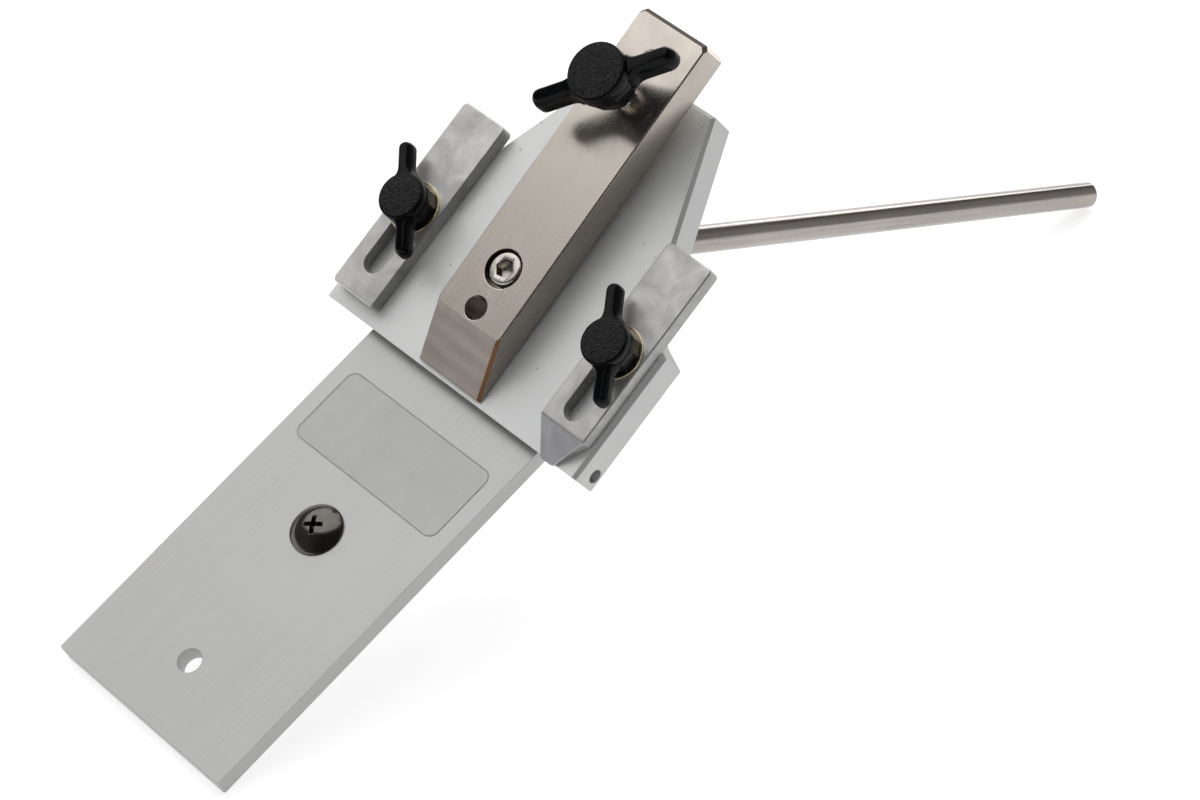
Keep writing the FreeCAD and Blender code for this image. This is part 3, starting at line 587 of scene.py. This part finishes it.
def cap_screw(name, node, way, major, pitch, key, head, head_tall, side=0, flip=False):
    """A socket head screw in detail: knurled head, bevelled rim, hexagon socket and real thread."""
    place, length = foot(node, way, side)
    if flip:
        place = place @ Matrix.Translation((0, 0, length * MM)) @ Matrix.Rotation(math.pi, 4, "X")
    seat = length - head_tall
    bm = bmesh.new()
    r = head / 2
    profile = [(r - 0.25, seat), (r - 0.05, seat + 0.25), (r - 0.05, seat + 0.5),
               (r, seat + 0.7), (r, length - 0.95), (r - 0.05, length - 0.8),
               (r - 0.18, length - 0.35), (r - 0.55, length - 0.02), (r - 0.75, length)]
    knurls = 36

    def ridge(row, a):
        if row not in (3, 4):
            return 0.0
        return -0.16 * (0.5 + 0.5 * math.cos(knurls * a))

    lathe(bm, profile, 216, ridge)
    head_piece = to_object(name + "_head", bm, place)
    combine(head_piece, hex_socket(place, key, head_tall * 0.55, length), "DIFFERENCE")
    soften(head_piece, 0.10, 40, 2)
    bm = bmesh.new()
    thread(bm, major, pitch, 0.0, seat + 0.2)
    shank = to_object(name + "_shank", bm, place)
    return smooth(joined(name, [head_piece, shank]), 40)


def threaded_stud(name, node, way, body):
    place, length = foot(node, way)
    bm = bmesh.new()
    thread(bm, BOLT, BOLT_PITCH, 0.0, length)
    obj = smooth(to_object(name, bm, place), 45)
    dress(obj, steel)
    return stands_for(obj, body, "bright_steel", node)


def wing(size, side, rise):
    """One wing of a knob, drafted, with a flat top strip between two chamfers and a round end."""
    bm = bmesh.new()
    reach = size["span"] / 2 - size["arm"] / 2
    levels = ((0.0, 0.78), (0.10, 1.0), (0.52, 1.0), (0.80, 0.84), (1.0, 0.52))
    root = size["cap"] / 2
    roots = ((-0.4, 1.3), (0.5, 0.5), (1.6, 0.12), (2.8, 0.0))
    steps = 14
    rings = []
    for share, scale in levels:
        w = size["arm"] / 2 * scale
        z = rise + size["tall"] * share
        points = [(0.0, -w - 1.5)]
        points += [(root + out, -w - flare) for out, flare in roots]
        points.append((reach, -w))
        for i in range(1, steps):
            a = -math.pi / 2 + math.pi * i / steps
            points.append((reach + w * math.cos(a), w * math.sin(a)))
        points.append((reach, w))
        points += [(root + out, w + flare) for out, flare in reversed(roots)]
        points.append((0.0, w + 1.5))
        rings.append([bm.verts.new((side * x, side * y, z)) for x, y in points])
    outline = rings[0]
    for low, high in zip(rings, rings[1:]):
        count = len(low)
        for i in range(count):
            k = (i + 1) % count
            bm.faces.new((low[i], low[k], high[k], high[i]))
    bm.faces.new(list(reversed(outline)))
    bm.faces.new(rings[-1])
    return bm


def wing_knob(name, node, joint_name, turn, size, body):
    """A moulded two-wing knob and its grained cap face."""
    axis = joint(joint_name)["axis"]
    place = foot(node, turned(axis, turn))[0]
    hub, cap, base = size["hub"], size["cap"] / 2, size["base"] / 2
    facets = 10
    rows = [(size["foot"] - 0.4, 0.0), (size["foot"], 0.35), (base - 0.2, hub * 0.42),
            (base, hub * 0.50), (cap, hub * 0.64), (cap - 0.12, hub * 0.68),
            (cap - 0.12, hub * 0.70), (cap, hub * 0.74), (cap, hub - 0.55),
            (cap - 0.16, hub - 0.2), (cap - 0.5, hub),
            (cap - 0.75, hub)]

    def flats(row, a):
        if row > 3:
            return 0.0
        near = (a * facets / (2 * math.pi)) % 1.0 - 0.5
        ideal = math.cos(math.pi / facets) / math.cos(near * 2 * math.pi / facets)
        return rows[row][0] * (ideal - 1.0)

    bm = bmesh.new()
    lathe(bm, rows, 144, flats)
    knob = to_object(name, bm, place)
    for side in (-1, 1):
        tool = to_object("wing", wing(size, side, hub * 0.36), place)
        combine(knob, tool, "UNION")
    socket = bmesh.new()
    prism(socket, 40, BOLT / 2 + 0.05, -1.0, hub * 0.6 + 0.04)
    combine(knob, to_object("socket", socket, place), "DIFFERENCE")
    soften(knob, 0.16, 32, 2)
    smooth(knob, 34)
    dress(knob, moulded(name + "_nylon", turned(axis, turn)))
    stands_for(knob, body, "black_plastic", node)
    face = bmesh.new()
    r = cap - 0.62
    lathe(face, [(r, hub - 0.02), (r, hub + 0.03), (r - 0.12, hub + 0.09), (r * 0.5, hub + 0.12),
                 (0.4, hub + 0.13)], 96)
    disc = smooth(to_object(name + "_cap_face", face, place), 60)
    dress(disc, pebbled(name + "_grain", turned(axis, turn)))
    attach(disc, body)
    return knob


def truss_screw():
    """A truss head screw: thin rim, low dome, tapered cross recess, and thread below."""
    place, length = foot("truss_screw", TAIL)
    low, high = span("truss_screw", TAIL)
    head = (high.x - low.x) / MM / 2
    rise, rim = DOME_RISE, DOME_RIM
    seat = length - rise - rim
    ball = (head ** 2 + rise ** 2) / (2 * rise)
    profile = [(head - 0.15, seat), (head, seat + 0.15), (head, seat + rim)]
    for i in range(1, 15):
        a = math.asin(head / ball) * (1 - i / 15)
        profile.append((ball * math.sin(a), seat + rim + rise - ball * (1 - math.cos(a))))
    bm = bmesh.new()
    lathe(bm, profile, 96)
    obj = to_object("truss_head", bm, place)
    for turn in RECESS_TURNS:
        bm = bmesh.new()
        rings = []
        levels = ((length - RECESS_DEPTH, RECESS_FLOOR), (length + 0.4, RECESS_MOUTH))
        for level, (reach, wide) in levels:
            corners = [(-reach, -wide), (reach, -wide), (reach, wide), (-reach, wide)]
            rings.append([bm.verts.new((cx, cy, level)) for cx, cy in corners])
        for i in range(4):
            k = (i + 1) % 4
            bm.faces.new((rings[0][i], rings[0][k], rings[1][k], rings[1][i]))
        bm.faces.new(list(reversed(rings[0])))
        bm.faces.new(rings[1])
        spun = place @ Matrix.Rotation(math.radians(turn), 4, "Z")
        combine(obj, to_object("cross", bm, spun), "DIFFERENCE")
    soften(obj, 0.09, 38, 2)
    bm = bmesh.new()
    thread(bm, BOLT, BOLT_PITCH, 0.0, seat + 0.1)
    whole = joined("truss_screw_piece", [obj, to_object("truss_shank", bm, place)])
    smooth(whole, 42)
    dress(whole, machined("gunmetal", TAIL, (0.125, 0.115, 0.107), (0.10, 0.2), 0.15))
    return stands_for(whole, "deck", "gunmetal_steel", "truss_screw")


def hex_nut():
    place, length = foot("truss_nut", TAIL)
    bm = bmesh.new()
    prism(bm, 6, NUT_WIDTH / math.sqrt(3), 0.0, length)
    nut = to_object("truss_nut_piece", bm, place)
    bm = bmesh.new()
    lathe(bm, [(NUT_CROWN, -0.3), (NUT_CROWN, 0.0), (NUT_CORNER, 0.9), (NUT_CORNER, length - 0.1),
               (NUT_CROWN + 1.2, length + 0.2)], 72)
    combine(nut, to_object("crown", bm, place), "INTERSECT")
    bm = bmesh.new()
    prism(bm, 48, BOLT / 2 + 0.06, -1.0, length + 1.0)
    combine(nut, to_object("bore", bm, place), "DIFFERENCE")
    soften(nut, 0.12, 40, 2)
    smooth(nut, 40)
    dress(nut, machined("zinc", TAIL, (0.60, 0.61, 0.63), (0.24, 0.38)))
    return stands_for(nut, "deck", "zinc_steel", "truss_nut")


# ---------------------------------------------------------------- the guide

steel = machined("bright_steel", DECK, (0.56, 0.53, 0.49), (0.14, 0.28))
black = oxide("black_oxide", DECK)


def paint_node(name, *mats):
    data = frame["nodes"][name].data
    data.materials.clear()
    for mat in mats:
        data.materials.append(mat)


def paint_faces(name, index, chosen):
    for face in frame["nodes"][name].data.polygons:
        if chosen(face):
            face.material_index = index


def plates():
    # The deck's side faces and chamfers take a darker copy of the same blasted finish (0.60 against 0.90): painted
    # shade.
    paint_node("deck_plate", blasted("blasted_deck", DECK, 0.90),
               blasted("blasted_sides_painted_shade", DECK, 0.60))
    up = DECK.to_3x3() @ Vector((0, 0, 1))
    paint_faces("deck_plate", 1, lambda face: abs(face.normal.dot(up)) < 0.9)
    paint_node("rod_block", blasted("blasted_block", DECK, 0.76))
    paint_node("tail_plate", brushed("brushed_tail", TAIL))
    low, high = span("label_film", TAIL)
    paint_node("label_film", film("clear_film", TAIL, low, high))
    paint_node("support_rod", stainless("ground_rod", ROD))
    brass = machined("brass", DECK, (0.62, 0.55, 0.38), (0.2, 0.34))
    for side in ("left", "right"):
        paint_node(side + "_washer", brass)


def fences():
    body = tumbled("tumbled_fence", DECK)
    nose = tumbled("machined_nose", DECK, 0.58, (0.98, 0.97, 1.03), (0.36, 0.46))
    # The fences' side faces take a darker copy of the same tumbled finish (0.40 against 0.60): painted shade.
    sides = tumbled("fence_sides_painted_shade", DECK, 0.40, (1.0, 1.0, 0.985), (0.40, 0.5))
    paint_node("left_fence", body, nose, sides)
    paint_node("right_fence", body, nose, sides)
    up = DECK.to_3x3() @ Vector((0, 0, 1))
    ahead = DECK.to_3x3() @ Vector((0, -1, 0))

    def on_nose(face):
        n = face.normal
        return n.dot(up) > 0.3 and n.dot(ahead) > 0.25

    paint_faces("right_fence", 1, on_nose)
    for name in ("left_fence", "right_fence"):
        paint_faces(name, 2, lambda face: abs(face.normal.x) > 0.6)


def bar():
    hole = BAR.inverted() @ Vector(mount("clamp_front_spare_hole")["pos_m"])
    screw = (span("pivot_screw", BAR)[0] + span("pivot_screw", BAR)[1]) / 2
    rings = ((hole / MM, 9.0), (screw / MM, 14.0))
    top = nickel("satin_nickel", BAR, rings)
    # The ramp is the same nickel plate painted much darker: painted shade.
    ramp = nickel("ramp_nickel_painted_shade", BAR, (), (0.33, 0.29, 0.262), ripple=True, dull=0.16)
    copper = nickel("worn_bevel", BAR, (), (0.135, 0.072, 0.036), dull=0.1)
    # The bar's side faces are the same nickel plate painted darker: painted shade.
    sides = nickel("nickel_sides_painted_shade", BAR, (), (0.43, 0.395, 0.355), dull=0.05)
    # The rear end bevel is the same nickel plate painted near black: painted shade and painted reflection of the
    # dark surroundings.
    end = nickel("end_bevel_painted_shade", BAR, (), (0.105, 0.086, 0.078), dull=0.12)
    paint_node("clamp_bar", top, ramp, copper, sides, end)
    up = BAR.to_3x3() @ Vector((0, 0, 1))
    ahead = BAR.to_3x3() @ Vector((0, -1, 0))

    def on_ramp(face):
        n = face.normal
        return 0.6 < n.dot(up) < 0.97 and n.dot(ahead) > 0.3 and abs(n.x) < 0.1

    def on_bevel(face):
        n = face.normal
        return n.x > 0.3 and n.dot(up) > 0.2 and n.dot(ahead) > 0.2

    def on_end_bevel(face):
        n = face.normal
        return n.dot(up) > 0.4 and n.dot(ahead) < -0.4

    paint_faces("clamp_bar", 3, lambda face: abs(face.normal.x) > 0.8)
    paint_faces("clamp_bar", 4, on_end_bevel)
    paint_faces("clamp_bar", 1, on_ramp)
    paint_faces("clamp_bar", 2, on_bevel)


def fasteners():
    screw = cap_screw("pivot_screw_piece", "pivot_screw", DECK, BOLT, BOLT_PITCH, BOLT_KEY,
                      *PIVOT_HEAD)
    dress(screw, steel)
    stands_for(screw, "deck", "bright_steel", "pivot_screw")
    pair = [cap_screw("block_screw", "rod_block_screws", DECK, SMALL_BOLT, SMALL_PITCH, SMALL_KEY,
                      *BLOCK_HEAD, side, flip=True) for side in (-1, 1)]
    whole = smooth(joined("rod_block_screw_pair", pair), 40)
    dress(whole, black)
    stands_for(whole, "deck", "black_steel", "rod_block_screws")
    for node in ("tail_screws", "tail_side_screws", "rod_set_screw"):
        paint_node(node, black)
    truss_screw()
    hex_nut()
    threaded_stud("tee_stud_piece", "tee_stud", BAR, "clamp_stud")
    threaded_stud("left_stud_piece", "left_stud", DECK, "left_lock_stud")
    threaded_stud("right_stud_piece", "right_stud", DECK, "right_lock_stud")


def knobs():
    wing_knob("tee_handle_piece", "tee_handle", "handle_turn", TEE["turn"], TEE, "clamp_handle")
    for side, turn in KNOB_TURNS.items():
        knob = side + "_knob"
        wing_knob(knob + "_piece", knob, knob + "_turn", turn, KNOB, side + "_lock")


# ---------------------------------------------------------------- stage

def camera():
    data = bpy.data.cameras.new("camera")
    data.lens = LENS
    data.sensor_width = SENSOR
    data.clip_start = 0.05
    data.clip_end = 20.0
    cam = bpy.data.objects.new("camera", data)
    cam.location = CAMERA_AT
    cam.rotation_euler = Euler([math.radians(a) for a in CAMERA_TURN])
    bpy.context.scene.collection.objects.link(cam)
    bpy.context.scene.camera = cam


def floor():
    mesh = bpy.data.meshes.new("floor")
    s = FLOOR_REACH
    mesh.from_pydata([(-s, -s, 0), (s, -s, 0), (s, s, 0), (-s, s, 0)], [], [(0, 1, 2, 3)])
    obj = bpy.data.objects.new("floor", mesh)
    bpy.context.scene.collection.objects.link(obj)
    p = Paint("floor_white")
    p.colour(p.mix(p.noise(0.002, 2), (0.60, 0.60, 0.60, 1), (0.62, 0.62, 0.62, 1)))
    p.set(Roughness=0.7)
    p.set(**{"Emission Color": (1, 1, 1, 1), "Emission Strength": 0.74, "Specular IOR Level": 0.1})
    mesh.materials.append(p.mat)


def strip_light(name, way, far, size, radiance):
    """A soft light of that radiance in a direction from the guide, facing it, itself unseen."""
    light = bpy.data.lights.new(name, "AREA")
    light.shape = "RECTANGLE"
    light.size, light.size_y = size
    light.energy = radiance * math.pi * size[0] * size[1]
    obj = bpy.data.objects.new(name, light)
    way = Vector(way).normalized()
    middle = (cad_box[0] + cad_box[1]) / 2
    obj.location = middle + way * far
    obj.rotation_euler = (-way).to_track_quat("-Z", "Y").to_euler()
    obj.visible_camera = False
    bpy.context.scene.collection.objects.link(obj)


# Soft bright areas of the studio: direction, where each starts and is full as the cosine of
# the angle from its middle, and its radiance.
SOFT_AREAS = (
    ((-0.45, 0.15, 0.88), 0.695, 0.775, 1.42),
    ((-0.45, 0.15, 0.88), 0.79, 0.92, 0.12),
    ((-0.80, -0.55, 0.20), 0.20, 0.90, 0.10),
    ((0.60, 0.80, 0.05), 0.55, 0.98, 0.30),
)
DARK_ROOM = 0.06


def surroundings():
    world = bpy.data.worlds.new("studio")
    bpy.context.scene.world = world
    world.use_nodes = True
    nodes, links = world.node_tree.nodes, world.node_tree.links
    way = nodes.new("ShaderNodeTexCoord").outputs["Generated"]
    total = None
    for middle, start, full, radiance in SOFT_AREAS:
        dot = nodes.new("ShaderNodeVectorMath")
        dot.operation = "DOT_PRODUCT"
        links.new(way, dot.inputs[0])
        dot.inputs[1].default_value = Vector(middle).normalized()
        ramp = nodes.new("ShaderNodeMapRange")
        ramp.interpolation_type = "SMOOTHSTEP"
        ramp.inputs["From Min"].default_value = start
        ramp.inputs["From Max"].default_value = full
        ramp.inputs["To Max"].default_value = radiance
        links.new(dot.outputs["Value"], ramp.inputs["Value"])
        more = nodes.new("ShaderNodeMath")
        links.new(ramp.outputs["Result"], more.inputs[0])
        more.inputs[1].default_value = DARK_ROOM
        if total is not None:
            links.new(total, more.inputs[1])
        total = more.outputs[0]
    links.new(total, nodes["Background"].inputs["Strength"])
    nodes["Background"].inputs["Color"].default_value = (1.0, 1.0, 1.0, 1)
    strip_light("rear_strip", (-0.474, 0.875, 0.14), 1.3, (0.55, 0.26), 3.6)
    bpy.context.scene.view_settings.view_transform = "Standard"


camera()
plates()
fences()
bar()
fasteners()
knobs()
floor()
surroundings()
